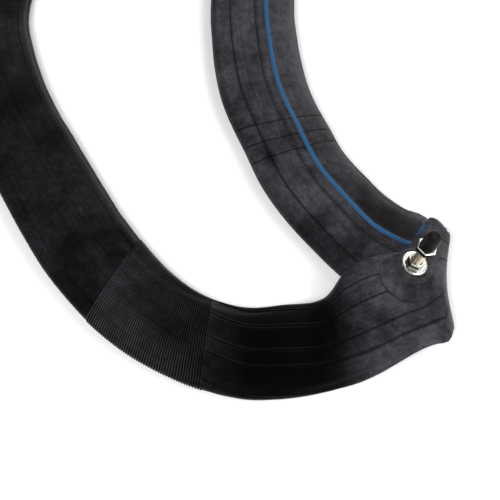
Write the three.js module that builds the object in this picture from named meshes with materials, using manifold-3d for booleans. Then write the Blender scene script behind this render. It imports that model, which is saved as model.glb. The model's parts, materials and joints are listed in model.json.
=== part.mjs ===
// Motorcycle inner tube, lying flat and folded over at both ends, with its clamp-in valve.
// Units are millimetres, +Z is up, z = 0 is the surface that the tube lies on.
import * as THREE from 'three';
import Module from 'manifold-3d';
import { mergeVertices } from 'three/addons/utils/BufferGeometryUtils.js';

const wasm = await Module();
wasm.setup();

// ---- driving dimensions ----
const WALL = 1.8; // rubber wall
const CENTRE = { x: -56.904, y: 250 }; // middle of the outline, moved to the origin
const MIRROR_Y = 250; // the two folded ends mirror each other about this line
const SECTION_POINTS = 16; // points round the tube's section
const SECTION_POWER = 2.6; // 2 is an ellipse, more is flatter with tighter edges
const LONGEST_STEP = 24; // along the tube
const SHARPEST_STEP = THREE.MathUtils.degToRad(16); // turn allowed in one step

// The tube as a flattened ribbon between two rails. Each station gives the rail at the rim side
// (inner), the rail at the tread side (outer), the thickness, and how far the middle bows along x.
// Listed from the valve round the lower front arm to the middle of the long side.
const FRONT_ARM = [
  { inner: [115, -16, 29], outer: [132, -90, 14.5], thick: 12, bow: -0.5 },
  { inner: [99, -26, 32], outer: [120, -93, 11], thick: 12, bow: 0 },
  { inner: [81, -31, 31], outer: [102, -103, 8], thick: 12, bow: 0 },
  { inner: [66, -39, 24], outer: [82, -113, 6.5], thick: 13, bow: 0 },
  { inner: [55, -49, 11], outer: [60, -121, 6.5], thick: 14, bow: 0 },
  { inner: [28, -53, 7], outer: [30, -128, 7], thick: 15.2, bow: 0 },
  { inner: [0, -56, 7], outer: [-3, -129, 7], thick: 15.2, bow: 0 },
  { inner: [-27, -49, 7], outer: [-34, -121, 7], thick: 15.2, bow: 0 },
  { inner: [-53, -31, 7], outer: [-72, -103, 7], thick: 15.2, bow: 0 },
  { inner: [-79, 0, 7], outer: [-113, -70, 7], thick: 15.2, bow: 0 },
  { inner: [-97, 27, 7], outer: [-149, -26, 7], thick: 15.2, bow: 0 },
  { inner: [-116, 61, 7], outer: [-178, 22, 7], thick: 15.2, bow: 0 },
  { inner: [-140, 104, 7], outer: [-203, 69, 7], thick: 15.2, bow: 0 },
  { inner: [-163, 149, 7], outer: [-229, 118, 7], thick: 15.2, bow: 0 },
  { inner: [-181, 198, 7], outer: [-252, 182, 7], thick: 15.2, bow: 0 },
];
const FRONT_MIDDLE = { inner: [-190, 250, 7], outer: [-262, 250, 7], thick: 15.2, bow: 0 };
// From the top of the fold beside the valve, round it, and along the lower back arm.
const BACK_ARM = [
  { inner: [136, 11, 25.5], outer: [140, -87, 17], thick: 8.6, bow: -3.2 },
  { inner: [147.5, 4, 16], outer: [143.4, -76, 11.5], thick: 6.4, bow: -6.2 },
  { inner: [138, 22, 5], outer: [137, -76, 4.8], thick: 8.6, bow: -3.2 },
  { inner: [121, 33, 5.2], outer: [106, -57, 5.2], thick: 11.4, bow: 0 },
  { inner: [107, 43, 6.2], outer: [80, -40, 6.2], thick: 13.4, bow: 0 },
  { inner: [94, 58, 7], outer: [51, -10, 7], thick: 15.2, bow: 0 },
  { inner: [75, 85, 7], outer: [13, 47, 7], thick: 15.2, bow: 0 },
  { inner: [61, 120, 7], outer: [-8, 99, 7], thick: 15.2, bow: 0 },
  { inner: [50, 150, 7], outer: [-20, 133, 7], thick: 15.2, bow: 0 },
  { inner: [42, 195, 7], outer: [-30, 186, 7], thick: 15.2, bow: 0 },
];
const BACK_MIDDLE = { inner: [38, 250, 7], outer: [-34, 250, 7], thick: 15.2, bow: 0 };

// The valve stands on the first station. Heights along it are measured from its boss's top face.
const FIT = 0.3; // clear gap left between pieces that touch
const VALVE = { station: 0.2, across: 0.56, axis: [0.254, -0.082, 0.964] };
const BOSS = { radius: 12, height: 2.4, foot: -5 };
const PATCH = { along: 25, below: 27, above: 14, thick: 1.6, edge: 0.9, sunk: -1 };
const STEM = { radius: 3.9, top: 36.5, bore: 2.75, boreFloor: 12, passage: 1.4 };
const STEM_HOLE = STEM.radius + FIT;
const FOOT = { radius: 7, low: -8.1, high: -6.6 };
const WASHER = { radius: 9.7, low: 0.4, high: 1.7 };
const CLAMP_NUT = { flats: 11.5, low: 2, high: 6, chamfer: 0.7 };
const RIM_NUT = { flats: 13.7, low: 21.4, high: 25.6, chamfer: 0.9 };
const CAP = { radius: 5.9, low: 25.9, tip: 5.1, tipLow: 35.1, high: 40.2, rounding: 1.5, roof: 1.2 };
const SEAL_THICK = 0.8;
const EDGE = 0.3; // small chamfers on the metal pieces
const CLEAR = 2; // how far a cutting tool reaches past what it cuts

// The valve core inside the stem: radii, and heights in the same frame.
const PLUG = { radius: 2.4, neck: 1.9, bore: 1.05, low: 31, shoulder: 33.6, high: 35.6, flats: 2.6 };
const BARREL = { radius: 2.1, waist: 1.7, bore: 1.4, floorBore: 0.85, low: 21, high: 30.7 };
const GASKET = { radius: 2.42, bore: 2, low: 26.1, high: 27.9 };
const PIN = { radius: 0.45, foot: 1, collar: 1.05, low: 16, footTop: 17.4, collarLow: 29.4, top: 35.9 };
const CUP = { radius: 2.1, bore: 0.75, low: 17.7, floor: 1.2, high: 20.4, wall: 0.3 };
const CUP_SEAL = { radius: 1.5, low: 19.2, high: 20.7 };
const SPRING = { radius: 0.92, wire: 0.14, turns: 8, low: 22.3, high: 29 };

// ---- helpers for solids ----
function solidFromMesh(positions, triangles) {
  const mesh = new wasm.Mesh({
    numProp: 3,
    vertProperties: Float32Array.from(positions),
    triVerts: Uint32Array.from(triangles),
  });
  return new wasm.Manifold(mesh);
}

// A solid with its faces pointing out, whichever way round the triangles were listed.
function orientedSolid(positions, triangles) {
  const solid = solidFromMesh(positions, triangles);
  if (solid.volume() > 0) return solid;
  const turnedRound = triangles.slice();
  for (let i = 0; i < triangles.length; i += 3) {
    [turnedRound[i + 1], turnedRound[i + 2]] = [triangles[i + 2], triangles[i + 1]];
  }
  return solidFromMesh(positions, turnedRound);
}

function solidFrom(geometry) {
  const bare = geometry.clone();
  bare.deleteAttribute('normal');
  bare.deleteAttribute('uv');
  const merged = mergeVertices(bare, 1e-4);
  return orientedSolid(merged.getAttribute('position').array, merged.index.array);
}

function geometryFrom(solid) {
  const mesh = solid.getMesh();
  const geometry = new THREE.BufferGeometry();
  geometry.setAttribute('position', new THREE.BufferAttribute(mesh.vertProperties, 3));
  geometry.setIndex(new THREE.BufferAttribute(mesh.triVerts, 1));
  return geometry;
}

// A turned piece about +Z from a closed outline of [radius, height] points.
function turned(outline, segments = 28) {
  const points = [...outline, outline[0]].map(([r, h]) => new THREE.Vector2(r, h));
  const geometry = new THREE.LatheGeometry(points, segments);
  geometry.rotateX(Math.PI / 2);
  return solidFrom(geometry);
}

function rodGeometry(radius, low, high, segments = 28) {
  const geometry = new THREE.CylinderGeometry(radius, radius, high - low, segments);
  geometry.rotateX(Math.PI / 2);
  return geometry.translate(0, 0, (low + high) / 2);
}

const rod = (...sizes) => solidFrom(rodGeometry(...sizes));

// A hexagonal nut with chamfered corners and a plain bore.
function hexNut({ flats, low, high, chamfer }, bore) {
  const corner = flats / Math.sqrt(3);
  const body = rod(corner, low, high, 6);
  const blank = turned([
    [0, low],
    [corner - chamfer, low],
    [corner, low + chamfer],
    [corner, high - chamfer],
    [corner - chamfer, high],
    [0, high],
  ], 36);
  return body.intersect(blank).subtract(rod(bore, low - CLEAR, high + CLEAR));
}

// ---- the folded tube ----
const mirrored = (station) => ({
  ...station,
  inner: [station.inner[0], 2 * MIRROR_Y - station.inner[1], station.inner[2]],
  outer: [station.outer[0], 2 * MIRROR_Y - station.outer[1], station.outer[2]],
});
const STATIONS = [
  ...FRONT_ARM,
  FRONT_MIDDLE,
  ...FRONT_ARM.map(mirrored).reverse(),
  ...BACK_ARM.map(mirrored),
  BACK_MIDDLE,
  ...[...BACK_ARM].reverse(),
];
const fromOutline = ([x, y, z]) => new THREE.Vector3(x - CENTRE.x, y - CENTRE.y, z);
const innerRail = new THREE.CatmullRomCurve3(STATIONS.map((s) => fromOutline(s.inner)), true);
const outerRail = new THREE.CatmullRomCurve3(STATIONS.map((s) => fromOutline(s.outer)), true);
const profileRail = new THREE.CatmullRomCurve3(
  STATIONS.map((s) => new THREE.Vector3(s.thick, s.bow, 0)), true, 'catmullrom', 0.5);

// The ribbon's frame at u, counted in stations.
function ribbonAt(u) {
  const t = (u / STATIONS.length + 1) % 1;
  const inner = innerRail.getPoint(t);
  const outer = outerRail.getPoint(t);
  const profile = profileRail.getPoint(t);
  const along = innerRail.getTangent(t).add(outerRail.getTangent(t)).normalize();
  const across = inner.clone().sub(outer);
  const halfWidth = across.length() / 2;
  across.normalize();
  const up = across.clone().cross(along).normalize();
  const centre = inner.add(outer).multiplyScalar(0.5);
  return { centre, across, up, along, halfWidth, halfThick: profile.x / 2, bow: profile.y };
}

// A point of the section: `angle` runs from the rim side over the first face; `inset` is inward.
function sectionPoint(ribbon, angle, inset) {
  const flat = (value) => Math.sign(value) * Math.abs(value) ** (2 / SECTION_POWER);
  const a = flat(Math.cos(angle));
  const b = flat(Math.sin(angle));
  const point = ribbon.centre.clone()
    .addScaledVector(ribbon.across, a * (ribbon.halfWidth - inset))
    .addScaledVector(ribbon.up, b * (ribbon.halfThick - inset));
  point.x += ribbon.bow * (1 - a * a);
  point.z = Math.max(point.z, inset);
  return point;
}

function stepsAlong() {
  const steps = [];
  STATIONS.forEach((station, k) => {
    const here = ribbonAt(k);
    const next = ribbonAt(k + 1);
    const length = here.centre.distanceTo(next.centre);
    const turn = Math.max(here.along.angleTo(next.along), here.up.angleTo(next.up));
    const count = Math.ceil(Math.max(length / LONGEST_STEP, turn / SHARPEST_STEP));
    for (let i = 0; i < count; i += 1) steps.push(k + i / count);
  });
  return steps;
}

function tubeSolid(inset) {
  const steps = stepsAlong();
  const positions = [];
  const triangles = [];
  steps.forEach((u, i) => {
    const ribbon = ribbonAt(u);
    const next = (i + 1) % steps.length;
    for (let j = 0; j < SECTION_POINTS; j += 1) {
      const point = sectionPoint(ribbon, (2 * Math.PI * j) / SECTION_POINTS, inset);
      positions.push(point.x, point.y, point.z);
      const side = (j + 1) % SECTION_POINTS;
      const corners = [i, i, next, next].map((row, c) => row * SECTION_POINTS + [j, side, side, j][c]);
      triangles.push(corners[0], corners[1], corners[2], corners[0], corners[2], corners[3]);
    }
  });
  return orientedSolid(positions, triangles);
}

// A point on the ribbon's first face, `acrossMm` from its middle towards the rim side.
function facePoint(u, acrossMm, raised) {
  const ribbon = ribbonAt(u);
  const a = acrossMm / ribbon.halfWidth;
  const b = (1 - Math.abs(a) ** SECTION_POWER) ** (1 / SECTION_POWER);
  const point = ribbon.centre.clone()
    .addScaledVector(ribbon.across, acrossMm)
    .addScaledVector(ribbon.up, b * ribbon.halfThick + raised);
  point.x += ribbon.bow * (1 - a * a);
  return point;
}

const valveRibbon = ribbonAt(VALVE.station);
const valveAcross = VALVE.across * valveRibbon.halfWidth;
const valveAxis = new THREE.Vector3(...VALVE.axis).normalize();
const valvePlace = new THREE.Group();
valvePlace.position.copy(facePoint(VALVE.station, valveAcross, 0)).addScaledVector(valveAxis, BOSS.height);
valvePlace.quaternion.setFromUnitVectors(new THREE.Vector3(0, 0, 1), valveAxis);
valvePlace.updateMatrixWorld();

// The same rod, standing where the valve stands.
function rodAtValve(radius, low, high) {
  return solidFrom(rodGeometry(radius, low, high).applyMatrix4(valvePlace.matrixWorld));
}

function tubeBody() {
  const hole = rodAtValve(STEM_HOLE, FOOT.low - CLEAR, CLEAR);
  return tubeSolid(0).subtract(tubeSolid(WALL)).subtract(hole);
}

// Oval pad moulded on the tube round the valve, with a level round boss under the washer.
function valvePatch() {
  const rings = 5;
  const spokes = 28;
  const millimetresPerStation = ribbonAt(0).centre.distanceTo(ribbonAt(1).centre);
  const positions = [];
  const triangles = [];
  const addPoint = (point) => positions.push(point.x, point.y, point.z) / 3 - 1;
  const layer = (height) => { // height above the tube, by share of the pad's reach
    const middle = addPoint(facePoint(VALVE.station, valveAcross, height(0)));
    for (let i = 1; i <= rings; i += 1) {
      for (let j = 0; j < spokes; j += 1) {
        const angle = (2 * Math.PI * j) / spokes;
        const reach = Math.sin(angle) > 0 ? PATCH.above : PATCH.below;
        const along = (PATCH.along * Math.cos(angle) * i) / rings;
        const across = valveAcross + (reach * Math.sin(angle) * i) / rings;
        const u = VALVE.station + along / millimetresPerStation;
        addPoint(facePoint(u, across, height(i / rings)));
      }
    }
    return middle;
  };
  const topMiddle = layer((r) => THREE.MathUtils.lerp(PATCH.thick, PATCH.edge, r ** 4));
  const lowMiddle = layer(() => PATCH.sunk);
  const at = (middle, ring, spoke) => middle + 1 + (ring - 1) * spokes + (spoke % spokes);
  for (let j = 0; j < spokes; j += 1) {
    triangles.push(topMiddle, at(topMiddle, 1, j), at(topMiddle, 1, j + 1));
    triangles.push(lowMiddle, at(lowMiddle, 1, j + 1), at(lowMiddle, 1, j));
    for (let i = 1; i < rings; i += 1) {
      const [a, b, c, d] = [at(topMiddle, i, j), at(topMiddle, i + 1, j),
        at(topMiddle, i + 1, j + 1), at(topMiddle, i, j + 1)];
      triangles.push(a, b, c, a, c, d);
      const [e, f, g, h] = [at(lowMiddle, i, j), at(lowMiddle, i + 1, j),
        at(lowMiddle, i + 1, j + 1), at(lowMiddle, i, j + 1)];
      triangles.push(e, g, f, e, h, g);
    }
    const [p, q, r, t] = [at(topMiddle, rings, j), at(lowMiddle, rings, j),
      at(lowMiddle, rings, j + 1), at(topMiddle, rings, j + 1)];
    triangles.push(p, q, r, p, r, t);
  }
  const pad = orientedSolid(positions, triangles);
  const boss = rodAtValve(BOSS.radius, BOSS.foot, 0);
  const hole = rodAtValve(STEM_HOLE, FOOT.low - CLEAR, CLEAR);
  return pad.add(boss).subtract(tubeSolid(-FIT)).subtract(hole);
}

// ---- the valve's turned pieces, in its own frame ----
const valveStem = () => turned([
  [STEM.passage, FOOT.low],
  [FOOT.radius, FOOT.low],
  [FOOT.radius, FOOT.high],
  [STEM.radius, FOOT.high],
  [STEM.radius, STEM.top - 2 * EDGE],
  [STEM.radius - 2 * EDGE, STEM.top],
  [STEM.bore, STEM.top],
  [STEM.bore, STEM.boreFloor + 1],
  [STEM.passage, STEM.boreFloor],
]);

const bridgeWasher = () => turned([
  [STEM_HOLE, WASHER.low],
  [WASHER.radius - EDGE, WASHER.low],
  [WASHER.radius, WASHER.low + EDGE],
  [WASHER.radius, WASHER.high - EDGE],
  [WASHER.radius - EDGE, WASHER.high],
  [STEM_HOLE, WASHER.high],
], 40);

const capShell = () => turned([
  [STEM_HOLE, CAP.low],
  [CAP.radius, CAP.low],
  [CAP.radius, CAP.tipLow],
  [CAP.tip, CAP.high - CAP.rounding],
  [CAP.tip - CAP.rounding, CAP.high],
  [0, CAP.high],
  [0, CAP.high - CAP.roof],
  [STEM_HOLE - CAP.rounding, CAP.high - CAP.roof],
  [STEM_HOLE, CAP.high - CAP.roof - CAP.rounding],
]);

const capSeal = () => turned([
  [STEM.bore, STEM.top + FIT],
  [STEM.radius - FIT / 2, STEM.top + FIT],
  [STEM.radius - FIT / 2, STEM.top + FIT + SEAL_THICK],
  [STEM.bore, STEM.top + FIT + SEAL_THICK],
]);

// Screw plug that holds the core down, with two flats for the core key.
function corePlug() {
  const collar = PLUG.high - 1;
  const body = turned([
    [PLUG.bore, PLUG.low],
    [PLUG.radius, PLUG.low],
    [PLUG.radius, PLUG.shoulder - 1],
    [PLUG.neck, PLUG.shoulder - 0.4],
    [PLUG.neck, PLUG.high],
    [PLUG.bore, PLUG.high],
  ], 24);
  const tool = new THREE.BoxGeometry(3 * PLUG.radius, CLEAR, CLEAR + 1);
  const reach = (PLUG.flats + CLEAR) / 2;
  const cut = (side) => solidFrom(tool.clone().translate(0, side * reach, collar + 0.6));
  return body.subtract(cut(1)).subtract(cut(-1));
}

// Barrel with a waist that holds the gasket, and a floor that the spring stands on.
const coreBarrel = () => turned([
  [BARREL.floorBore, BARREL.low],
  [BARREL.radius, BARREL.low],
  [BARREL.radius, GASKET.low - 0.6],
  [BARREL.waist, GASKET.low - 0.3],
  [BARREL.waist, GASKET.high + 0.3],
  [BARREL.radius, GASKET.high + 0.6],
  [BARREL.radius, BARREL.high],
  [BARREL.bore, BARREL.high],
  [BARREL.bore, BARREL.low + 0.8],
  [BARREL.floorBore, BARREL.low + 0.8],
], 20);

const ring = (outer, inner, low, high) => turned([
  [inner, low], [outer, low], [outer, high], [inner, high],
], 20);

const coreGasket = () => ring(GASKET.radius, GASKET.bore, GASKET.low, GASKET.high);

const corePin = () => turned([
  [0, PIN.low],
  [PIN.foot, PIN.low],
  [PIN.foot, PIN.footTop],
  [PIN.radius, PIN.footTop],
  [PIN.radius, PIN.collarLow],
  [PIN.collar, PIN.collarLow],
  [PIN.collar, PIN.collarLow + 0.6],
  [PIN.radius, PIN.collarLow + 0.6],
  [PIN.radius, PIN.top],
  [0, PIN.top],
], 16);

const coreCup = () => turned([
  [CUP.bore, CUP.low],
  [CUP.radius - 0.2, CUP.low],
  [CUP.radius, CUP.high - 1],
  [CUP.radius, CUP.high],
  [CUP.radius - CUP.wall, CUP.high],
  [CUP.radius - CUP.wall, CUP.low + CUP.floor],
  [CUP.bore, CUP.low + CUP.floor],
], 20);

const coreCupSeal = () => ring(CUP_SEAL.radius, CUP.bore, CUP_SEAL.low, CUP_SEAL.high);

// Spring round the pin.
function coreSpring() {
  const coil = new THREE.Curve();
  coil.getPoint = (t) => {
    const angle = 2 * Math.PI * SPRING.turns * t;
    const height = THREE.MathUtils.lerp(SPRING.low, SPRING.high, t);
    return new THREE.Vector3(
      SPRING.radius * Math.cos(angle), SPRING.radius * Math.sin(angle), height);
  };
  const wire = new THREE.Shape().absarc(0, 0, SPRING.wire, 0, 2 * Math.PI);
  return solidFrom(new THREE.ExtrudeGeometry(wire, {
    steps: SPRING.turns * 9, curveSegments: 3, extrudePath: coil,
  }));
}

// ---- the object ----
const RUBBER = { color: 0x1d1c1f, roughness: 0.55, metalness: 0 };
const NICKEL = { color: 0xc9c4b8, roughness: 0.25, metalness: 1 };
const BRASS = { color: 0xb79a63, roughness: 0.35, metalness: 1 };
const STEEL = { color: 0xb8bbbf, roughness: 0.4, metalness: 1 };
const BLACK_PLASTIC = { color: 0x121213, roughness: 0.45, metalness: 0 };
const SEAL_RUBBER = { color: 0x2a2a2a, roughness: 0.8, metalness: 0 };
const WHITE_PTFE = { color: 0xe8e6e0, roughness: 0.5, metalness: 0 };

function piece(name, solid, finish) {
  const mesh = new THREE.Mesh(geometryFrom(solid), new THREE.MeshStandardMaterial(finish));
  mesh.name = name;
  return mesh;
}

const innerTube = new THREE.Group();
innerTube.add(piece('tube_body', tubeBody(), RUBBER), piece('valve_patch', valvePatch(), RUBBER));
valvePlace.add(
  piece('valve_stem', valveStem(), NICKEL),
  piece('bridge_washer', bridgeWasher(), NICKEL),
  piece('clamp_nut', hexNut(CLAMP_NUT, STEM_HOLE), NICKEL),
  piece('rim_nut', hexNut(RIM_NUT, STEM_HOLE), NICKEL),
  piece('valve_cap', capShell(), BLACK_PLASTIC),
  piece('cap_seal', capSeal(), SEAL_RUBBER),
  piece('core_plug', corePlug(), BRASS),
  piece('core_barrel', coreBarrel(), BRASS),
  piece('core_gasket', coreGasket(), WHITE_PTFE),
  piece('core_pin', corePin(), BRASS),
  piece('core_spring', coreSpring(), STEEL),
  piece('core_cup', coreCup(), BRASS),
  piece('core_cup_seal', coreCupSeal(), SEAL_RUBBER),
);
innerTube.add(valvePlace);

export default innerTube;
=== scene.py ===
"""An off-road motorcycle's inner tube, lying flat with both ends folded over, and its metal valve.

The rubber is one ribbon-like skin between two rails, the same rails as the CAD tube's. The valve's
pieces are turned or milled in the valve's own frame, which the CAD joint cap_turn gives.
Lengths in the tables are in millimetres, and MM turns them into metres.
"""
import json
import math

import bmesh
import bpy
import numpy as np
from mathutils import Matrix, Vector


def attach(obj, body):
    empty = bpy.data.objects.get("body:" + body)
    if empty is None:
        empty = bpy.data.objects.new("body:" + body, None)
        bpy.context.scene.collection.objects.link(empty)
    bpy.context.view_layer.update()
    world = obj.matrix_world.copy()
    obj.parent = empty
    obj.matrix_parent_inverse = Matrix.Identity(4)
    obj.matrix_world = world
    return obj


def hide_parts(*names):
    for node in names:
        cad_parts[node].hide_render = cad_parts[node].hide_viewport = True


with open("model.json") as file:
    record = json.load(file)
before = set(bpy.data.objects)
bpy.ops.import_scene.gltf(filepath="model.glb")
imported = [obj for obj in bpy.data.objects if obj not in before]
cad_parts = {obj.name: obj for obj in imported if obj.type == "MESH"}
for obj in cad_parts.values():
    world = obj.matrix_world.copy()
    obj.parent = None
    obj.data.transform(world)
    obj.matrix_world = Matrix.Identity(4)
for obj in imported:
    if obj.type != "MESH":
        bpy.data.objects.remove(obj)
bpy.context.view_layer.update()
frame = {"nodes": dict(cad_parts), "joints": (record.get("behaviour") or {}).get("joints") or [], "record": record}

MM = 0.001
SEED = 7
rng = np.random.default_rng(SEED)

# ---- the tube's rails, as in the CAD model ----
CENTRE = np.array([-56.904, 250.0, 0.0])  # middle of the outline, moved to the origin
MIRROR_Y = 250.0
SECTION_POWER = 2.6

# Each station: rail at the rim side, rail at the tread side, thickness, bow of the middle along x.
FRONT_ARM = [
    ((115, -16, 29), (132, -90, 14.5), 12, -0.5),
    ((99, -26, 32), (120, -93, 11), 12, 0),
    ((81, -31, 31), (102, -103, 8), 12, 0),
    ((66, -39, 24), (82, -113, 6.5), 13, 0),
    ((55, -49, 11), (60, -121, 6.5), 14, 0),
    ((28, -53, 7), (30, -128, 7), 15.2, 0),
    ((0, -56, 7), (-3, -129, 7), 15.2, 0),
    ((-27, -49, 7), (-34, -121, 7), 15.2, 0),
    ((-53, -31, 7), (-72, -103, 7), 15.2, 0),
    ((-79, 0, 7), (-113, -70, 7), 15.2, 0),
    ((-97, 27, 7), (-149, -26, 7), 15.2, 0),
    ((-116, 61, 7), (-178, 22, 7), 15.2, 0),
    ((-140, 104, 7), (-203, 69, 7), 15.2, 0),
    ((-163, 149, 7), (-229, 118, 7), 15.2, 0),
    ((-181, 198, 7), (-252, 182, 7), 15.2, 0),
]
FRONT_MIDDLE = ((-190, 250, 7), (-262, 250, 7), 15.2, 0)
BACK_ARM = [
    ((136, 11, 25.5), (140, -87, 17), 8.6, -3.2),
    ((147.5, 4, 16), (143.4, -76, 11.5), 6.4, -6.2),
    ((138, 22, 5), (137, -76, 4.8), 8.6, -3.2),
    ((121, 33, 5.2), (106, -57, 5.2), 11.4, 0),
    ((107, 43, 6.2), (80, -40, 6.2), 13.4, 0),
    ((94, 58, 7), (51, -10, 7), 15.2, 0),
    ((75, 85, 7), (13, 47, 7), 15.2, 0),
    ((61, 120, 7), (-8, 99, 7), 15.2, 0),
    ((50, 150, 7), (-20, 133, 7), 15.2, 0),
    ((42, 195, 7), (-30, 186, 7), 15.2, 0),
]
BACK_MIDDLE = ((38, 250, 7), (-34, 250, 7), 15.2, 0)


def mirrored(station):
    """The station at the plain end that matches this one at the valve end."""
    (ix, iy, iz), (ox, oy, oz), thick, bow = station
    return (ix, 2 * MIRROR_Y - iy, iz), (ox, 2 * MIRROR_Y - oy, oz), thick, bow


STATIONS = (
    FRONT_ARM
    + [FRONT_MIDDLE]
    + [mirrored(s) for s in reversed(FRONT_ARM)]
    + [mirrored(s) for s in BACK_ARM]
    + [BACK_MIDDLE]
    + list(reversed(BACK_ARM))
)


class Ribbon:
    """A smooth closed run of the stations, by distance along the middle line, in millimetres."""

    def __init__(self, stations):
        rows = [
            [*np.subtract(i, CENTRE), *np.subtract(o, CENTRE), thick, bow]
            for i, o, thick, bow in stations
        ]
        self.rows = np.array(rows, float)
        count = len(rows)
        middle = (self.rows[:, 0:3] + self.rows[:, 3:6]) / 2
        step = np.linalg.norm(np.roll(middle, -1, 0) - middle, axis=1)
        matrix, right = np.zeros((count, count)), np.zeros((count, 8))
        for i in range(count):
            before, after = step[i - 1], step[i]
            matrix[i, i - 1] += before
            matrix[i, i] += 2 * (before + after)
            matrix[i, (i + 1) % count] += after
            rise = (self.rows[(i + 1) % count] - self.rows[i]) / after
            right[i] = 6 * (rise - (self.rows[i] - self.rows[i - 1]) / before)
        self.bend = np.linalg.solve(matrix, right)
        self.step = step
        self.knots = np.r_[0, np.cumsum(step)]
        self.length = self.knots[-1]

    def at(self, s):
        """Rows of inner rail, outer rail, thickness and bow at each distance s."""
        s = np.asarray(s, float) % self.length
        k = np.clip(np.searchsorted(self.knots, s, side="right") - 1, 0, len(self.step) - 1)
        n = (k + 1) % len(self.step)
        h = self.step[k][:, None]
        t = (s - self.knots[k])[:, None]
        cubic = self.bend[k] * (h - t) ** 3 / (6 * h) + self.bend[n] * t**3 / (6 * h)
        line = (self.rows[k] / h - self.bend[k] * h / 6) * (h - t)
        return cubic + line + (self.rows[n] / h - self.bend[n] * h / 6) * t


ribbon = Ribbon(STATIONS)
SECTION_SAMPLES = 361


def squared_off(value):
    """A sine or cosine, bent so that the section is a superellipse."""
    return np.sign(value) * np.abs(value) ** (2 / SECTION_POWER)


def section_normal(value):
    """The same bend for the direction straight off the section."""
    return np.sign(value) * np.abs(value) ** (SECTION_POWER - 1)


def skin_point(s, w):
    """Points of the bare skin, in millimetres, and the direction straight off each one.

    s is the distance along the tube for each row. w, for each row and column, is the share of the
    way round the section from the rim-side edge, over the first face."""
    nearby = 0.5
    low, high = ribbon.at(s - nearby), ribbon.at(s + nearby)
    rows = ribbon.at(s)
    inner, outer, thick, bow = rows[:, 0:3], rows[:, 3:6], rows[:, 6], rows[:, 7]
    centre = (inner + outer) / 2
    across = inner - outer
    half_width = np.linalg.norm(across, axis=1) / 2
    across /= 2 * half_width[:, None]
    along = (high[:, 0:3] + high[:, 3:6] - low[:, 0:3] - low[:, 3:6]) / 2
    up = np.cross(across, along)
    up /= np.linalg.norm(up, axis=1)[:, None]
    angle = np.linspace(0, 2 * np.pi, SECTION_SAMPLES)
    a_all, b_all = squared_off(np.cos(angle)), squared_off(np.sin(angle))
    a = np.empty_like(w)
    b = np.empty_like(w)
    for i in range(len(s)):
        x, y = a_all * half_width[i], b_all * thick[i] / 2
        run = np.r_[0, np.cumsum(np.hypot(np.diff(x), np.diff(y)))]
        share = run / run[-1]
        a[i] = np.interp(w[i] % 1, share, a_all)
        b[i] = np.interp(w[i] % 1, share, b_all)
    point = centre[:, None] + across[:, None] * (a * half_width[:, None])[..., None]
    point = point + up[:, None] * (b * thick[:, None] / 2)[..., None]
    point[..., 0] += bow[:, None] * (1 - a * a)
    off = across[:, None] * (section_normal(a) / half_width[:, None])[..., None]
    off = off + up[:, None] * (section_normal(b) / (thick[:, None] / 2))[..., None]
    off /= np.linalg.norm(off, axis=2)[..., None]
    return point, off


# ---- what is moulded into the rubber ----
PERIMETER = 150.0  # round the section, on average
LONG_SIDE = ribbon.knots[len(FRONT_ARM)]  # middle of the front long side
PLAIN_END = 2 * LONG_SIDE  # the station that mirrors the valve's
BACK_SIDE = ribbon.knots[-len(BACK_ARM) - 2]  # middle of the back long side

MOULD_LINES = [0.075, 0.2, 0.28, 0.415, 0.5, 0.62, 0.755, 0.983]  # shares of the way round
LINE_HEIGHT, LINE_WIDTH = 0.34, 0.38
LINE_CUT = 0.9  # from each line's ridge to the cut beside it
LINE_SHADE, LINE_SHADE_WIDTH = 0.8, 0.7  # where painted shade darkens the cut
RIBBED_LINES, FAR_LINES, FAR_FROM = 0.35, 0.4, 200  # how strong the lines are there
LINE_RIDGE = [(-70, 0.1), (-10, 1.0), (160, 1.0), (166, 0.1)]  # distance, height of the ridge
LINE_COLUMNS = (-0.9, -0.5, -0.2, 0.2, 0.6, 1.1, 1.7)  # mesh columns across each line
STRIPE, STRIPE_HALF, STRIPE_HEIGHT = 0.824, 1.45, 0.18
STRIPE_RIM = 0.01  # takes in the columns right on the stripe's edges
RIBS_FROM, RIBS_PITCH, RIB_COUNT, RIB_HEIGHT = 164.0, 1.77, 50, 0.8
RIB_SHARPNESS = 2.5
RIBBED_SHARE = (-0.03, 0.56)
RIB_END = 0.02  # share over which a rib runs out
CROSS_LINES = [-234.5, -217.0, -202.5]  # distances from the valve along the back arm
CROSS_SLANT, CROSS_DEPTH, CROSS_WIDTH = 9.0, 0.35, 0.6
# A dark line of painted shade along a crease at the valve's fold, with no relief under it.
FOLD_CREASE_SHADE = {"distance": -10.0, "shares": (0.3, 0.36), "slant": 125.0, "width": 1.1}


def from_valve(s):
    """Signed distance from the valve's station, or from its mirror at the plain end: positive
    along the front arm and negative along the back arm."""
    s = np.asarray(s, float) % ribbon.length
    out = np.where(s <= LONG_SIDE, s, PLAIN_END - s)
    return np.where(s > BACK_SIDE, s - ribbon.length, out)


def smooth(value, start, end):
    """0 up to start, 1 from end, and an even S between them."""
    t = np.clip((value - start) / (end - start), 0, 1)
    return t * t * (3 - 2 * t)


# How far the rubber has rolled round the section near the folds: distance, share.
ROLL = [(-250, 0), (-140, -0.016), (-105, -0.026), (-75, -0.014), (-50, 0.03), (-15, 0.125),
        (0, 0.11), (50, 0.1), (75, 0.085), (135, 0.06), (165, 0.03), (250, 0)]
ROLL_UNDER = 0.08  # more of it on the lower face, right at the fold


def roll(distance, share):
    """The rubber's roll, in shares, for each row and column."""
    near = np.interp(distance, *zip(*ROLL))
    under = ROLL_UNDER * smooth(distance, -60, -10) * (1 - smooth(distance, 40, 160))
    belly = smooth(share, 0.5, 0.68) * (1 - smooth(share, 0.9, 1.0))
    return near[:, None] + under[:, None] * belly


def on_stripe(share):
    return np.abs(share - STRIPE) * PERIMETER < STRIPE_HALF + STRIPE_RIM


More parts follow.
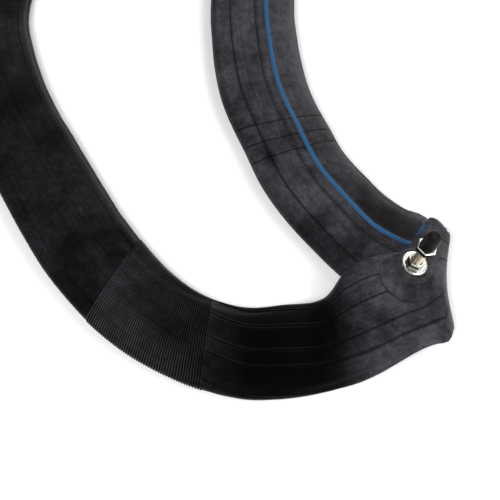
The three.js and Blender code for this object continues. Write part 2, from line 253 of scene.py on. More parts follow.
TIGHT_WITHIN, TIGHT_STEP, OPEN_STEPS = 75, 1.9, (3.0, 5.0)  # mesh rows near the folds, elsewhere
MOST_TWIST = 0.09  # of the rails from one open row to the next
PLAIN_COLUMNS = 64


def row_places():
    """Distances of the mesh rows: close together on the ribs, the cross lines and tight bends."""
    rib_steps = [0.0, 0.1, 0.3, 0.5, 0.7, 0.9]
    fixed = [RIBS_FROM + RIBS_PITCH * (k + t) for k in range(RIB_COUNT) for t in rib_steps]
    for line in CROSS_LINES:
        middle = ribbon.length + line
        fixed += list(middle + np.arange(-CROSS_SLANT / 2 - 1.2, CROSS_SLANT / 2 + 1.3, 0.6))
    fixed = np.array(sorted(fixed))
    places, s = [], 0.0
    while s < ribbon.length:
        if np.abs(fixed - s).min() > 0.9:
            places.append(s)
        here = ribbon.at([s, s + 4.0])
        rail = (here[:, 0:3] - here[:, 3:6])
        rail /= np.linalg.norm(rail, axis=1)[:, None]
        twist = np.linalg.norm(rail[1] - rail[0])
        tight = abs(from_valve(s)) < TIGHT_WITHIN
        open_step = float(np.clip(MOST_TWIST / max(twist, 1e-4), *OPEN_STEPS))
        s += TIGHT_STEP if tight else open_step
    return np.array(sorted([*places, *fixed]))


def column_shares():
    """Shares of the way round for the mesh columns, with several across each moulded line."""
    lines = [c + d / PERIMETER for c in MOULD_LINES for d in LINE_COLUMNS]
    edges = [-STRIPE_HALF - 0.25, -STRIPE_HALF, 0, STRIPE_HALF, STRIPE_HALF + 0.25]
    lines += [STRIPE + d / PERIMETER for d in edges]
    lines = np.array(lines) % 1
    plain = [c for c in np.linspace(0, 1, PLAIN_COLUMNS, endpoint=False)
             if np.abs((lines - c + 0.5) % 1 - 0.5).min() * PERIMETER > 0.7]
    return np.array(sorted([*plain, *lines]))


def moulded(s, share):
    """Height of the moulded detail above the bare skin, the painted shade in its cuts, between
    its ribs and on the fold's crease line, and how high on a rib each point is."""
    distance = from_valve(s)
    height = np.zeros((len(s), len(share)))
    groove_shade = np.zeros_like(height)
    turn = (s - RIBS_FROM) / RIBS_PITCH
    ribbed = (turn > 0) & (turn < RIB_COUNT)
    strength = np.where(ribbed, RIBBED_LINES, np.where(distance > FAR_FROM, FAR_LINES, 1.0))
    strength = strength[:, None]
    ridge = np.interp(distance, *zip(*LINE_RIDGE))[:, None]
    for line in MOULD_LINES:
        off = ((share - line + 0.5) % 1 - 0.5) * PERIMETER
        height += strength * ridge * LINE_HEIGHT * np.exp(-(off / LINE_WIDTH) ** 2)
        height -= strength * LINE_HEIGHT * np.exp(-((off - LINE_CUT) / LINE_WIDTH) ** 2)
        # Painted shade in the cut beside each line.
        groove_shade += strength * np.exp(-((off - LINE_SHADE) / LINE_SHADE_WIDTH) ** 2)
    height += STRIPE_HEIGHT * on_stripe(share)
    wave = np.abs(np.sin(np.pi * turn)) ** RIB_SHARPNESS
    signed = np.where(share > 0.8, share - 1, share)
    first, last = RIBBED_SHARE
    across = smooth(signed, first, first + RIB_END)
    across = across * (1 - smooth(signed, last - RIB_END, last))
    ribs = np.where(ribbed, wave, 0)[:, None] * across
    height += RIB_HEIGHT * ribs
    # Painted shade between the ribs.
    groove_shade += np.where(ribbed, 1 - wave**2, 0)[:, None] * across
    for line in CROSS_LINES:
        middle = line + CROSS_SLANT * (np.where(share > 0.5, share - 0.75, 0))
        off = distance[:, None] - middle
        mask = (s[:, None] > BACK_SIDE) * smooth(share, 0.5, 0.54) * (1 - smooth(share, 0.97, 0.99))
        cut = np.exp(-(off / CROSS_WIDTH) ** 2) * mask
        height -= CROSS_DEPTH * cut
        # Painted shade in the cross cut.
        groove_shade += cut
    first, last = FOLD_CREASE_SHADE["shares"]
    off = distance[:, None] - FOLD_CREASE_SHADE["distance"] + FOLD_CREASE_SHADE["slant"] * (share - first)
    groove_shade += np.exp(-(off / FOLD_CREASE_SHADE["width"]) ** 2) * (share > first) * (share < last)
    return height, np.clip(groove_shade, 0, 1), ribs


# The shoulder's crease on the front arm: distance from the valve, share of the way round.
CREASE = [(110, 0.05), (143, 0.05), (165, 0.037), (196, 0.067), (234, 0.087), (262, 0.1)]
CREASE_DEPTH, CREASE_WIDTH = 1.3, 0.017
CREASE_DEEPENS, CREASE_FADES = (92, 140), (235, 300)
# Shallow waves: turns along the tube, turns round it, height.
WAVES = [(9, 1, 0.25), (17, 2, 0.18), (31, 1, 0.12), (46, 3, 0.08)]


def slack(s, w):
    """Soft dents and waves of a tube with little air in it: the shoulder's crease beside the rim
    edge, and shallow waves along both faces."""
    distance = from_valve(s)
    place = np.interp(distance, *zip(*CREASE))
    depth = CREASE_DEPTH * smooth(distance, *CREASE_DEEPENS) * (1 - smooth(distance, *CREASE_FADES))
    off = (w - place[:, None] + 0.5) % 1 - 0.5
    dent = -depth[:, None] * np.exp(-(off / CREASE_WIDTH) ** 2)
    waves = np.zeros_like(w)
    for turns_along, turns_round, size in WAVES:
        start = rng.uniform(0, 2 * np.pi, 2)
        along = np.sin(2 * np.pi * turns_along * s / ribbon.length + start[0])[:, None]
        waves += size * along * np.sin(2 * np.pi * turns_round * w + start[1])
    return dent + waves


def grid_mesh(name, points, attributes=None):
    """A mesh of quads from a grid of points in millimetres that closes on itself both ways."""
    rows, columns = points.shape[:2]
    i, j = np.meshgrid(np.arange(rows), np.arange(columns), indexing="ij")
    i, j = i.ravel(), j.ravel()
    i2, j2 = (i + 1) % rows, (j + 1) % columns
    quads = np.stack([i * columns + j, i2 * columns + j, i2 * columns + j2, i * columns + j2], 1)
    mesh = bpy.data.meshes.new(name)
    mesh.from_pydata((points.reshape(-1, 3) * MM).tolist(), [], quads.tolist())
    for key, value in (attributes or {}).items():
        kind = "FLOAT_VECTOR" if value.ndim == 3 else "FLOAT"
        layer = mesh.attributes.new(key, kind, "POINT")
        layer.data.foreach_set("vector" if kind == "FLOAT_VECTOR" else "value",
                               value.astype(np.float32).ravel())
    return finish_mesh(name, mesh)


def finish_mesh(name, mesh):
    """An object with outward faces and smooth shading."""
    bm = bmesh.new()
    bm.from_mesh(mesh)
    bmesh.ops.remove_doubles(bm, verts=bm.verts, dist=1e-7)
    bmesh.ops.recalc_face_normals(bm, faces=bm.faces)
    for face in bm.faces:
        face.smooth = True
    bm.to_mesh(mesh)
    bm.free()
    piece = bpy.data.objects.new(name, mesh)
    bpy.context.scene.collection.objects.link(piece)
    return piece


# Talcum along the tube, with painted shade in the same amount: none on the low front arm, which stays black.
# Distance from the valve, amount.
TALC_AND_SHADE = [(-260, 0.95), (-60, 0.85), (0, 1.0), (30, 1.1), (52, 0.6), (70, 0.08), (85, 0.0),
        (135, 0.0), (160, 0.14), (190, 0.22), (260, 0.24)]
# Talcum and a painted highlight on the rib crests: distance from the valve, amount.
CREST_TALC_AND_HIGHLIGHT = [(165, 0.2), (205, 0.7), (250, 1.1)]
SMUDGE = {"distance": -203, "length": 15, "share": 0.612, "width": 0.042, "cleared": 0.85}
# A painted highlight along the back arm's rounded rim edge.
RIM_HIGHLIGHT = {"share": 0.972, "width": 0.012, "talc_and_painted_light": 1.9}
SHADED_BY_RIM, SHADED_BELOW = 0.55, 0.3  # painted shade on the back arm: beside the stripe toward the fold, on the underside


def talc_and_painted_light(distance, share):
    """How much pale talcum lies on the rubber at each share of the way round, with painted light
    in the same amount: least on the low front arm, as painted shade, most at the valve's fold;
    painted shade beside the stripe toward the fold and on the back arm's underside, and a
    painted highlight along the back arm's rim edge."""
    # Partly talcum, partly painted shade: the low front arm gets none.
    along = np.interp(distance, *zip(*TALC_AND_SHADE))
    amount = along[:, None] * np.ones_like(share)
    back = (distance < -40)[:, None] * 1.0
    near_fold = (smooth(distance, -190, -115) * (1 - smooth(distance, -70, -40)))[:, None]
    by_rim = smooth(share, 0.8, 0.84) * (1 - smooth(share, 0.93, 0.96))
    # Painted shade beside the stripe toward the fold, and on the back arm's underside.
    amount *= 1 - SHADED_BY_RIM * near_fold * by_rim
    amount *= 1 - SHADED_BELOW * back * (1 - smooth(share, 0.5, 0.56))
    smudge = np.exp(-(((distance - SMUDGE["distance"]) / SMUDGE["length"]) ** 2))[:, None]
    smudge = smudge * np.exp(-(((share - SMUDGE["share"]) / SMUDGE["width"]) ** 2))
    amount *= 1 - SMUDGE["cleared"] * smudge
    # Painted highlight along the back arm's rim edge.
    band = np.exp(-(((share - RIM_HIGHLIGHT["share"]) / RIM_HIGHLIGHT["width"]) ** 2))
    return amount + RIM_HIGHLIGHT["talc_and_painted_light"] * back * band


STRIPE_LEFT_AT_FOLD = 0.7  # how much of the stripe shows in the fold, where it is rubbed off


def tube_skin():
    """The tube's whole skin, with the values that its material reads at each point."""
    s, share = row_places(), column_shares()
    distance = from_valve(s)
    w = share[None, :] + roll(distance, share)
    point, off = skin_point(s, w)
    height, groove_shade, ribs = moulded(s, share)
    point = point + off * (height + slack(s, w))[..., None]
    point[..., 2] = np.maximum(point[..., 2], 0.0)
    radius = PERIMETER / (2 * np.pi)
    flow = np.empty(point.shape)
    flow[..., 0] = ((s - LONG_SIDE) % ribbon.length)[:, None] * MM
    flow[..., 1] = radius * np.cos(2 * np.pi * share) * MM
    flow[..., 2] = radius * np.sin(2 * np.pi * share) * MM
    rubbed_off = smooth(distance, -30, -24) * (1 - smooth(distance, 70, 110))
    left_at_fold = smooth(distance, -14, -11) * (1 - smooth(distance, -8, -5))
    stripe = on_stripe(share) * (1 - rubbed_off + STRIPE_LEFT_AT_FOLD * left_at_fold)[:, None]
    # Talcum and a painted highlight on the rib crests.
    crest_talc_and_highlight = np.interp(distance, *zip(*CREST_TALC_AND_HIGHLIGHT))[:, None] * ribs
    return grid_mesh("tube_skin", point, {
        "flow": flow, "groove_shade": groove_shade, "stripe": stripe, "talc_and_painted_light": talc_and_painted_light(distance, w % 1) + crest_talc_and_highlight})


# ---- the valve's place, from the CAD joint that turns the cap ----
cap_joint = next(j for j in frame["joints"] if j["name"] == "cap_turn")
VALVE_PLACE = np.array(cap_joint["pos_m"]) / MM
VALVE_AXIS = np.array(cap_joint["axis"])
VALVE_TURN = np.array(Vector((0, 0, 1)).rotation_difference(Vector(VALVE_AXIS)).to_matrix())


def on_valve(point):
    """Points of the valve's own frame, z along the valve, in the row frame."""
    return point @ VALVE_TURN.T + VALVE_PLACE


def from_row(point):
    """Points of the row frame in the valve's own frame."""
    return (point - VALVE_PLACE) @ VALVE_TURN


PAD = {"along": 25.5, "below": 27.5, "above": 14.5, "thick": 1.2, "rim": 0.35, "hole": 4.3,
       "sunk": 0.7}
BOSS = {"radius": 11.4, "foot": 15.0, "level": 0.25}
ROUND_AT_VALVE = 157.0  # round the section at the valve


def valve_pad():
    """Oval pad moulded on the skin round the valve: thin rounded rim, level boss in the middle."""
    s_try = np.arange(-4.0, 8.0, 0.25)
    w_try = np.tile(np.arange(0.06, 0.2, 0.0015), (len(s_try), 1))
    skin, _ = skin_point(s_try, w_try)
    from_axis = np.linalg.norm(from_row(skin)[..., :2], axis=2)
    i, j = np.unravel_index(from_axis.argmin(), from_axis.shape)
    s_valve, w_valve = s_try[i], w_try[0, j]

    spokes, rings = 144, 40
    angle = np.linspace(0, 2 * np.pi, spokes, endpoint=False)
    share = np.linspace(0, 1, rings) ** 0.8
    reach = np.where(np.sin(angle) > 0, PAD["above"], PAD["below"])
    slope = PAD["thick"] + (PAD["rim"] - PAD["thick"]) * smooth(share, 0.4, 0.96)
    top = slope * (1 - smooth(share, 0.965, 1.0)) - 0.25 * (share > 0.999)
    layers = [(share, top), (share[::-1], np.full(rings, -PAD["sunk"]))]
    sheets = []
    for out, height in layers:
        inside, outside = (1 - out)[:, None], out[:, None]
        along = (inside * PAD["hole"] + outside * PAD["along"]) * np.cos(angle)
        across = inside * PAD["hole"] * np.sin(angle) + outside * reach * np.sin(angle)
        rows = []
        for a_row, c_row, h in zip(along, across, height):
            point, off = skin_point(s_valve + a_row, w_valve - c_row[:, None] / ROUND_AT_VALVE)
            rows.append((point + off * h)[:, 0])
        sheets.append(np.array(rows))
    top_sheet = from_row(sheets[0])
    from_axis = np.linalg.norm(top_sheet[..., :2], axis=2)
    level = 1 - smooth(from_axis, BOSS["radius"], BOSS["foot"])
    top_sheet[..., 2] += (BOSS["level"] - top_sheet[..., 2]) * level
    points = np.concatenate([on_valve(top_sheet), sheets[1]])
    points[..., 2] = np.maximum(points[..., 2], 0.0)
    # Painted shade along the pad's rim step, in the same channel as the shade in the cuts.
    edge = np.zeros(points.shape[:2])
    edge[:rings] = 0.5 * smooth(share, 0.93, 0.98)[:, None]
    return grid_mesh("valve_pad", points, {"groove_shade": edge})


# ---- turned and milled pieces, in the valve's own frame, millimetres ----
THREAD_PITCH, THREAD_DEPTH = 0.79375, 0.4
THREAD_STEPS = 7  # rows for each turn of the thread
STEM = {"radius": 3.9, "low": -6.6, "top": 36.5, "bore": 2.75, "floor": 12, "passage": 1.4,
        "neck": 3.5, "tip": 3.3}
FOOT = {"radius": 7.0, "low": -8.1}
BORE = 4.2  # of everything that goes over the stem
WASHER = {"low": 0.4, "high": 1.7, "radius": 9.7}
CLAMP_NUT = {"flats": 11.5, "low": 2.0, "high": 6.0, "turn": 12}
RIM_NUT = {"flats": 13.7, "low": 21.4, "high": 25.6, "turn": 45}
NUT_BEVEL, NUT_BEVEL_DEGREES = 0.65, 33
NUT_CORNER_SHARPNESS, NUT_EDGE = 90, 0.12
NUT_TOP_LIMIT = 1.05  # the flat top's largest radius, against half the width across flats
COUNTERSINK = 0.6
CAP = {"low": 25.9, "top": 40.2, "skirt": 5.9, "waist": 5.05, "dimple": 1.3, "room": 39.0}
ON_AXIS = 0.001  # a radius too small to see, where an outline meets the axis
FILLET_POINTS = 5


def filleted(corners):
    """A closed outline of [radius, height] points with its corners rounded. Each corner is
    (radius, height, fillet)."""
    points = []
    for k, (r, z, fillet) in enumerate(corners):
        here = np.array([r, z])
        if not fillet:
            points.append(here)
            continue
        before = np.array(corners[k - 1][:2]) - here
        after = np.array(corners[(k + 1) % len(corners)][:2]) - here
        start = here + before / np.linalg.norm(before) * fillet
        end = here + after / np.linalg.norm(after) * fillet
        for t in np.linspace(0, 1, FILLET_POINTS):
            points.append((1 - t) ** 2 * start + 2 * t * (1 - t) * here + t**2 * end)
    return np.array(points)


def turned(name, corners, segments, sharp):
    """A piece turned from a closed outline, with edges sharp past the given angle in degrees."""
    outline = filleted(corners)
    angle = np.linspace(0, 2 * np.pi, segments, endpoint=False)
    radius, height = outline[:, 0][:, None], outline[:, 1][:, None]
    points = np.stack([radius * np.cos(angle), radius * np.sin(angle),
                       height + 0 * angle], axis=2)
    return sharpened(grid_mesh(name, on_valve(points)), sharp)


def sharpened(piece, degrees):
    """The piece with every edge past the given angle marked sharp."""
    bm = bmesh.new()
    bm.from_mesh(piece.data)
    for edge in bm.edges:
        edge.smooth = edge.calc_face_angle(0) < math.radians(degrees)
    bm.to_mesh(piece.data)
    bm.free()
    return piece


def hex_nut(name, flats, low, high, turn):
    """Hexagonal nut: softened corners, bevelled edges at both ends, countersunk bore."""
    segments = 144
    angle = np.linspace(0, 2 * np.pi, segments, endpoint=False)
    faces = np.radians(np.arange(6) * 60 + turn)
    facing = np.maximum(np.cos(angle[:, None] - faces), 0) ** NUT_CORNER_SHARPNESS
    side = flats / 2 / facing.sum(1) ** (1 / NUT_CORNER_SHARPNESS)
    rim = np.minimum(side - NUT_BEVEL, flats / 2 * NUT_TOP_LIMIT)
    drop = (side - rim) * math.tan(math.radians(NUT_BEVEL_DEGREES))
    ring, soft, sunk = np.ones(segments), NUT_EDGE, COUNTERSINK
    upper_half = [
        (BORE * ring, sunk), ((BORE + sunk - 0.1) * ring, 0.05), ((BORE + sunk) * ring, 0.0),
        ((rim - 0.15) * ring, 0.0), (rim * ring, 0.03),
        (side - soft, drop - 0.3 * soft), (side, drop + soft),
    ]
    rows = [(r, high - depth) for r, depth in upper_half]
    rows += [(r, low + depth) for r, depth in reversed(upper_half)]
    points = np.array([
        np.stack([r * np.cos(angle), r * np.sin(angle), z * ring], 1) for r, z in rows])
    # The side flats get painted shade in the material.
    flank_shade = np.zeros(points.shape[:2])
    flank_shade[len(upper_half) - 1:len(upper_half) + 1] = 1.0
    return sharpened(grid_mesh(name, on_valve(points), {"flank_shade": flank_shade}), 8)


def stem():
    """The threaded stem: a fine helical thread outside, the core's bore and the air passage."""
    segments = 56
    angle = np.linspace(0, 2 * np.pi, segments, endpoint=False)
    ring = np.ones(segments)
    rows = [
        (STEM["passage"] * ring, FOOT["low"] * ring), (FOOT["radius"] * ring, FOOT["low"] * ring),
        (FOOT["radius"] * ring, STEM["low"] * ring), (STEM["neck"] * ring, STEM["low"] * ring),
    ]
    for z in np.arange(STEM["low"] + 0.2, STEM["top"] - 0.6, THREAD_PITCH / THREAD_STEPS):
        turn = (z / THREAD_PITCH - angle / (2 * np.pi)) % 1
        depth = THREAD_DEPTH * smooth(np.abs(2 * turn - 1), 0.12, 0.95)
        rows.append((STEM["radius"] - depth, z * ring))
    rows += [
        (STEM["tip"] * ring, STEM["top"] * ring), (STEM["bore"] * ring, STEM["top"] * ring),
        (STEM["bore"] * ring, (STEM["floor"] + 1) * ring),
        (STEM["passage"] * ring, STEM["floor"] * ring),
    ]
    points = np.array([np.stack([r * np.cos(angle), r * np.sin(angle), z], 1) for r, z in rows])
    return sharpened(grid_mesh("threaded_stem", on_valve(points)), 50)


def washer():
    """Flat washer with a rounded rim. Outlines are lists of (radius, height, fillet)."""
    low, high, radius = WASHER["low"], WASHER["high"], WASHER["radius"]
    return turned("round_washer", [
        (BORE, low, 0.1), (radius - 0.2, low, 0.2), (radius, low + 0.6, 0.35),
        (radius - 0.6, high - 0.02, 0.4), (radius - 1.8, high, 0.2), (BORE, high, 0.15),
    ], segments=128, sharp=14)


def cap():
    """Plastic cap: a low skirt, a straight body, a waist, and a rounded tip with a dimple."""
    low, top, room = CAP["low"], CAP["top"], CAP["room"]
    skirt, waist, dimple = CAP["skirt"], CAP["waist"], CAP["dimple"]
    return turned("screw_cap", [
        (BORE, low, 0.2), (skirt, low, 0.25), (skirt, 27.1, 0.1), (skirt - 0.1, 27.25, 0.1),
        (skirt - 0.15, 34.6, 0.9), (waist + 0.2, 37.2, 0.15), (waist, 37.32, 0.08),
        (waist, 37.62, 0.08), (waist + 0.15, 37.75, 0.12), (5.0, 39.0, 0.5), (4.2, top, 1.0),
        (dimple + 0.3, top, 0.2), (dimple, top - 0.2, 0.2), (ON_AXIS, top - 0.2, 0),
        (ON_AXIS, room, 0), (3.0, room, 0.2), (BORE, 37.6, 0.3),
    ], segments=128, sharp=40)


# ---- materials ----
def new_material(name):
    """A material and a function that adds a node, linking sockets and setting plain values."""
    made = bpy.data.materials.new(name)
    made.use_nodes = True
    tree = made.node_tree
    tree.nodes.clear()
    return made, node_adder(tree)


def node_adder(tree):
    def add(kind, inputs=None, **settings):
        node = tree.nodes.new("ShaderNode" + kind)
        for key, value in settings.items():
            setattr(node, key, value)
        for key, value in (inputs or {}).items():
            if isinstance(value, bpy.types.NodeSocket):
                tree.links.new(value, node.inputs[key])
            else:
                node.inputs[key].default_value = value
        return node
    return add


def mixed(add, share, first, second):
    """A colour between two. Each one, and the share, is a value or a socket."""
    node = add("Mix", {0: share, 6: first, 7: second}, data_type="RGBA")
    return node.outputs[2]


def math_node(add, operation, first, second):
    return add("Math", {0: first, 1: second}, operation=operation).outputs[0]


def ranged(add, value, low, high, to_low=0.0, to_high=1.0):
    """A value moved from one range to another, and clamped to it."""
    return add("MapRange", {"Value": value, "From Min": low, "From Max": high,
                            "To Min": to_low, "To Max": to_high}).outputs[0]


def finish_shader(add, colour, roughness, normal=None, **constants):
    """The shader and output of a material, with constant values set on the shader itself."""
    shader = add("BsdfPrincipled", {"Base Color": colour, "Roughness": roughness, **constants})
    if normal is not None:
        shader.id_data.links.new(normal, shader.inputs["Normal"])
    output = add("OutputMaterial")
    shader.id_data.links.new(shader.outputs[0], output.inputs[0])


BLACK_RUBBER = (0.0009, 0.0008, 0.0009, 1)
DUSTED = (0.050, 0.048, 0.056, 1)
PAD_TALC = 0.85
# How strongly painted shade darkens the cuts, and the nuts' side flats.
GROOVE_SHADE_AMOUNT, FLANK_SHADE_AMOUNT = 0.93, 0.9
# Colour of the painted shade on the nuts' side flats.
NUT_FLANK_SHADE = (0.03, 0.03, 0.028, 1)
STRIPE_BLUE = (0.014, 0.072, 0.165, 1)


def tube_rubber(name, skin):
    """Black butyl rubber with a film of talcum: blotches, streaks along the tube, fine grain. The film's amount
    also carries painted shade and painted highlights.
    """
    made, add = new_material(name)
    place = add("TexCoord").outputs["Object"]
    blotch = add("TexNoise", {"Vector": place, "Scale": 30.0, "Detail": 6.0}).outputs["Fac"]
    patchy = add("TexNoise", {"Vector": place, "Scale": 150.0, "Detail": 4.0}).outputs["Fac"]
    grain = add("TexNoise", {"Vector": place, "Scale": 1500.0, "Detail": 2.0}).outputs["Fac"]
    speck = add("TexNoise", {"Vector": place, "Scale": 420.0, "Detail": 3.0}).outputs["Fac"]
    if skin:
        flow = add("Attribute", attribute_name="flow").outputs["Vector"]
        drawn = add("Mapping", {"Vector": flow, "Scale": (9.0, 700.0, 700.0)}).outputs[0]
        streak = add("TexNoise", {"Vector": drawn, "Scale": 1.0, "Detail": 3.0}).outputs["Fac"]
        amount = add("Attribute", attribute_name="talc_and_painted_light").outputs["Fac"]
    else:
        streak = add("TexNoise", {"Vector": place, "Scale": 120.0, "Detail": 4.0}).outputs["Fac"]
        amount = PAD_TALC
    cloud = math_node(add, "MULTIPLY", ranged(add, blotch, 0.35, 0.65, 0.3, 1.0),
                      ranged(add, patchy, 0.3, 0.7, 0.6, 1.15))
    lines = math_node(add, "MULTIPLY", ranged(add, streak, 0.3, 0.7, 0.75, 1.15),
                      ranged(add, speck, 0.3, 0.7, 0.75, 1.25))
    # The skin's amount carries painted shade and painted highlights along with the talcum.
    dust_and_painted_light = math_node(add, "MULTIPLY", math_node(add, "MULTIPLY", amount, cloud), lines)
    marks = math_node(add, "MULTIPLY", ranged(add, speck, 0.66, 0.76, 0.0, 0.7), amount)
    dust_and_painted_light = math_node(add, "ADD", dust_and_painted_light, marks)
    colour = mixed(add, dust_and_painted_light, BLACK_RUBBER, DUSTED)
    roughness = ranged(add, dust_and_painted_light, 0.0, 1.0, 0.3, 0.5)
    # Painted shade in the cuts, between the ribs, on the fold's crease line and at the pad's rim.
    groove_shade = add("Attribute", attribute_name="groove_shade").outputs["Fac"]
    colour = mixed(add, math_node(add, "MULTIPLY", groove_shade, GROOVE_SHADE_AMOUNT), colour, BLACK_RUBBER)
    if skin:
        stripe = add("Attribute", attribute_name="stripe").outputs["Fac"]
        worn = math_node(add, "MULTIPLY", stripe, ranged(add, streak, 0.2, 0.5, 0.75, 1.0))
        colour = mixed(add, worn, colour, STRIPE_BLUE)
    height = math_node(add, "ADD", math_node(add, "MULTIPLY", grain, 0.5), streak)
    normal = add("Bump", {"Height": height, "Strength": 0.25, "Distance": 0.0003}).outputs[0]
    finish_shader(add, colour, roughness, normal, **{"Specular IOR Level": 0.07})
    return made


def plated(name, colour, dark, rough, scratch_scale):
    """Plated metal with faint tarnish and fine turning marks round the valve, and painted shade on the nuts' side
    flats.
    """
    made, add = new_material(name)
    place = add("TexCoord").outputs["Object"]
    tarnish = add("TexNoise", {"Vector": place, "Scale": 110.0, "Detail": 2.0}).outputs["Fac"]
    fine = add("TexNoise", {"Vector": place, "Scale": scratch_scale, "Detail": 2.0}).outputs["Fac"]
    base = mixed(add, ranged(add, tarnish, 0.35, 0.75), colour, dark)
    flank_shade = add("Attribute", attribute_name="flank_shade").outputs["Fac"]
    # Painted shade on the nuts' side flats.
    base = mixed(add, math_node(add, "MULTIPLY", flank_shade, FLANK_SHADE_AMOUNT), base, NUT_FLANK_SHADE)
    roughness = ranged(add, fine, 0.3, 0.7, rough * 0.8, rough * 1.35)
    normal = add("Bump", {"Height": fine, "Strength": 0.02, "Distance": 0.00002}).outputs[0]
    finish_shader(add, base, roughness, normal, Metallic=1.0)
    return made


def moulded_plastic(name, colour, pale, rough):
    """Plastic, PTFE or seal rubber: faint clouding and a fine grain."""
    made, add = new_material(name)
    place = add("TexCoord").outputs["Object"]
    cloud = add("TexNoise", {"Vector": place, "Scale": 300.0, "Detail": 3.0}).outputs["Fac"]
    grain = add("TexNoise", {"Vector": place, "Scale": 4000.0, "Detail": 2.0}).outputs["Fac"]
    base = mixed(add, ranged(add, cloud, 0.45, 0.8), colour, pale)
    roughness = ranged(add, cloud, 0.3, 0.7, rough, rough * 1.25)
    normal = add("Bump", {"Height": grain, "Strength": 0.1, "Distance": 0.00005}).outputs[0]
    finish_shader(add, base, roughness, normal, **{"Specular IOR Level": 0.12})
    return made


# Metals: colour, tarnished colour, roughness, fineness of the marks.
METALS = {
    "nickel_plate": ((0.88, 0.89, 0.85, 1), (0.74, 0.74, 0.68, 1), 0.22, 900.0),
    "stem_metal": ((0.82, 0.70, 0.55, 1), (0.60, 0.48, 0.36, 1), 0.2, 700.0),
    "core_brass": ((0.62, 0.46, 0.22, 1), (0.40, 0.28, 0.12, 1), 0.25, 1200.0),
    "spring_steel": ((0.58, 0.58, 0.59, 1), (0.36, 0.36, 0.37, 1), 0.3, 1200.0),
}
# Plastics and seals: colour, paler colour of the clouding, roughness.
PLASTICS = {
    "cap_plastic": ((0.003, 0.003, 0.0033, 1), (0.008, 0.008, 0.009, 1), 0.38),
    "seal_rubber": ((0.012, 0.012, 0.012, 1), (0.03, 0.03, 0.03, 1), 0.6),
    "white_ptfe": ((0.72, 0.71, 0.68, 1), (0.60, 0.59, 0.56, 1), 0.4),
}
FINISHES = {
    "tube_rubber": tube_rubber("tube_rubber", True),
    "pad_rubber": tube_rubber("pad_rubber", False),
    **{name: plated(name, *look) for name, look in METALS.items()},
    **{name: moulded_plastic(name, *look) for name, look in PLASTICS.items()},
}


def dress(piece, finish, body=None, replaces=()):
    """Gives a piece its material, the body it rides on and what it stands for."""
    piece.data.materials.clear()
    piece.data.materials.append(FINISHES[finish])
    if body:
        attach(piece, body)
    if replaces:
        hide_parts(*replaces)


dress(tube_skin(), "tube_rubber", "tube", ["tube_body"])
dress(valve_pad(), "pad_rubber", "tube", ["valve_patch"])
dress(stem(), "stem_metal", "tube", ["valve_stem"])
dress(washer(), "nickel_plate", "tube", ["bridge_washer"])
dress(hex_nut("clamping_nut", **CLAMP_NUT), "nickel_plate", "tube", ["clamp_nut"])
dress(hex_nut("loose_rim_nut", **RIM_NUT), "nickel_plate", "rim_nut", ["rim_nut"])
dress(cap(), "cap_plastic", "valve_cap", ["valve_cap"])
# The hidden parts inside the valve show as the CAD solids.
for part in frame["record"]["subparts"]:
    if not frame["nodes"][part["node"]].hide_render:
        dress(frame["nodes"][part["node"]], part["material_slot"])


# ---- the studio: white floor, soft lights, camera; metres ----
FLOOR_HALF, FLOOR_LEVEL = 4.0, -0.0002
TUBE_AIM, VALVE_AIM = (0.0, -0.1, 0), (0.17, -0.29, 0.04)


def studio_floor():
    mesh = bpy.data.meshes.new("floor")
    corners = [(-1, -1), (1, -1), (1, 1), (-1, 1)]
    mesh.from_pydata([(x * FLOOR_HALF, y * FLOOR_HALF, FLOOR_LEVEL) for x, y in corners],
                     [], [(0, 1, 2, 3)])
    floor = bpy.data.objects.new("floor", mesh)
    bpy.context.scene.collection.objects.link(floor)
    made, add = new_material("floor_paper")
    place = add("TexCoord").outputs["Object"]
    fibre = add("TexNoise", {"Vector": place, "Scale": 600.0, "Detail": 2.0}).outputs["Fac"]
    colour = mixed(add, fibre, (0.9, 0.9, 0.9, 1), (0.92, 0.92, 0.92, 1))
    finish_shader(add, colour, 0.9, **{"Specular IOR Level": 0.1})
    mesh.materials.append(made)


def aimed(obj, place, target):
    """Puts a light or camera at its place, turned to the target."""
    obj.location = place
    obj.rotation_mode = "QUATERNION"
    obj.rotation_quaternion = (Vector(target) - Vector(place)).to_track_quat("-Z", "Y")
    bpy.context.scene.collection.objects.link(obj)
    return obj


def softbox(name, place, target, width, depth, power, mirrored_in_object=True):
    """A soft rectangular light, which shiny surfaces can be kept from mirroring."""
    light = bpy.data.lights.new(name, "AREA")
    light.shape, light.size, light.size_y, light.energy = "RECTANGLE", width, depth, power
    box = aimed(bpy.data.objects.new(name, light), place, target)
    box.visible_glossy = mirrored_in_object


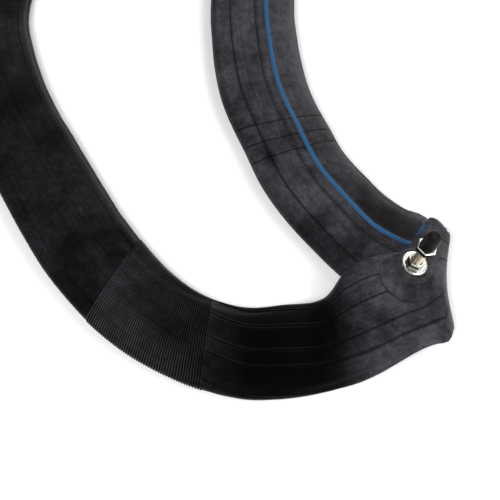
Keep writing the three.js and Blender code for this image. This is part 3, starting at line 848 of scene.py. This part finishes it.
def studio_world():
    """Pale low down and dark high up, so that the low arm mirrors black; dimmer from the left."""
    world = bpy.data.worlds.new("studio")
    bpy.context.scene.world = world
    world.use_nodes = True
    tree = world.node_tree
    tree.nodes.clear()
    add = node_adder(tree)
    way = add("SeparateXYZ", {0: add("TexCoord").outputs["Generated"]})
    ramp = add("ValToRGB", {"Fac": way.outputs["Z"]})
    stops = [(0.0, 0.75), (0.55, 0.6), (0.78, 0.04), (0.94, 0.04), (0.99, 0.25)]  # height, level
    ramp.color_ramp.elements.remove(ramp.color_ramp.elements[1])
    for k, (place, level) in enumerate(stops):
        stop = ramp.color_ramp.elements[0] if k == 0 else ramp.color_ramp.elements.new(place)
        stop.position, stop.color = place, (level, level, level, 1)
    strength = ranged(add, way.outputs["X"], -0.5, 0.1, 0.35, 1.0)
    shade = add("Background", {"Color": ramp.outputs["Color"], "Strength": strength})
    tree.links.new(shade.outputs[0], add("OutputWorld").inputs[0])


studio_floor()
studio_world()
softbox("key_box", (-0.6, -1.4, 1.5), TUBE_AIM, 1.2, 1.0, 42, False)
softbox("side_box", (1.5, -0.7, 1.1), TUBE_AIM, 1.0, 0.9, 20)
softbox("back_box", (0.9, 1.5, 0.8), (0.1, 0.0, 0), 1.2, 0.5, 12)
softbox("valve_box", (0.68, 0.24, 0.99), VALVE_AIM, 0.45, 0.45, 0.9)
softbox("edge_box", (-0.17, -0.69, 1.2), VALVE_AIM, 0.4, 0.4, 0.6)
softbox("bevel_box", (0.73, -0.99, 0.98), VALVE_AIM, 0.6, 0.6, 1.7)
bpy.context.scene.view_settings.view_transform = "Standard"

LOOK_AT = Vector(-CENTRE * MM)  # the drawing's own origin, on the floor
LOOK_DOWN, LOOK_FROM, LENS, SENSOR = math.radians(55), 0.9, 86.4, 36.0
lens = bpy.data.cameras.new("camera")
lens.lens, lens.sensor_width, lens.clip_start, lens.clip_end = LENS, SENSOR, 0.01, 20
lens.dof.use_dof = False
back = Vector((0, -math.cos(LOOK_DOWN), math.sin(LOOK_DOWN))) * LOOK_FROM
bpy.context.scene.camera = aimed(bpy.data.objects.new("camera", lens), LOOK_AT + back, LOOK_AT)
